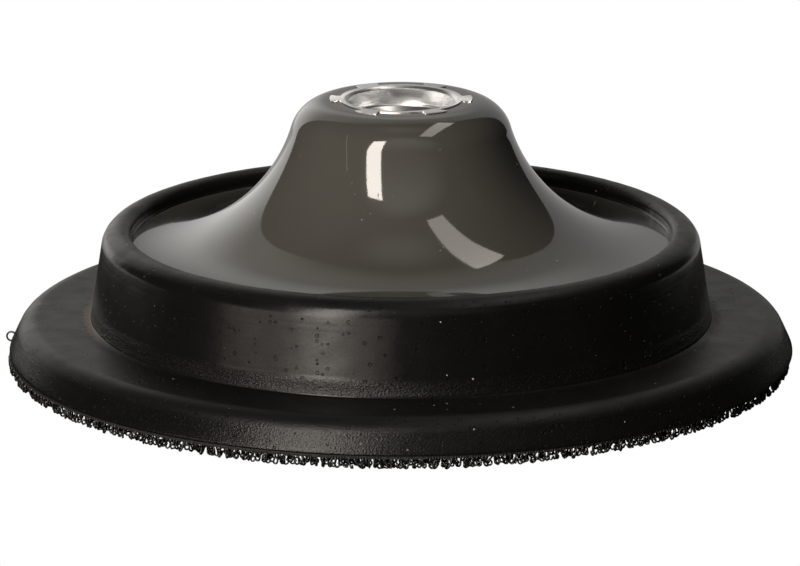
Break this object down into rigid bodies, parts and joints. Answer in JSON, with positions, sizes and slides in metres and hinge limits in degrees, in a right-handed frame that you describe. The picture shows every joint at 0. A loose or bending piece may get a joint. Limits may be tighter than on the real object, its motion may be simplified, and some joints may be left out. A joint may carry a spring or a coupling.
{
  "type": "hook-and-loop backing pad",
  "caption": "Round hook-faced backing pad for a rotary sander or polisher: flared moulded hub with a threaded metal insert, on a stepped flexible pad with a raised lip.",
  "frame": {"origin": "on the spindle axis, in the plane of the hooks' tips, which the pad stands on", "axes": "+Z along the spindle axis, out of the threaded insert towards the machine; +X through one of the insert's six lugs"},
  "size_m": [0.125, 0.125, 0.043],
  "materials": {
    "turned_aluminium": "bright turned face with fine tool marks and small burrs",
    "hub_nylon": "glossy moulded glass-filled nylon, olive grey",
    "pad_polyurethane": "satin black integral-skin polyurethane with fine flow lines and pits",
    "adhesive": "thin dark contact adhesive",
    "hook_weave": "black woven nylon tape",
    "hook_nylon": "black nylon monofilament hooks"
  },
  "bodies": {
    "root": {"threaded_insert": "turned_aluminium", "hub": "hub_nylon", "pad_body": "pad_polyurethane", "adhesive_film": "adhesive", "hook_backing": "hook_weave", "hook_pile": "hook_nylon"}
  },
  "joints": []
}
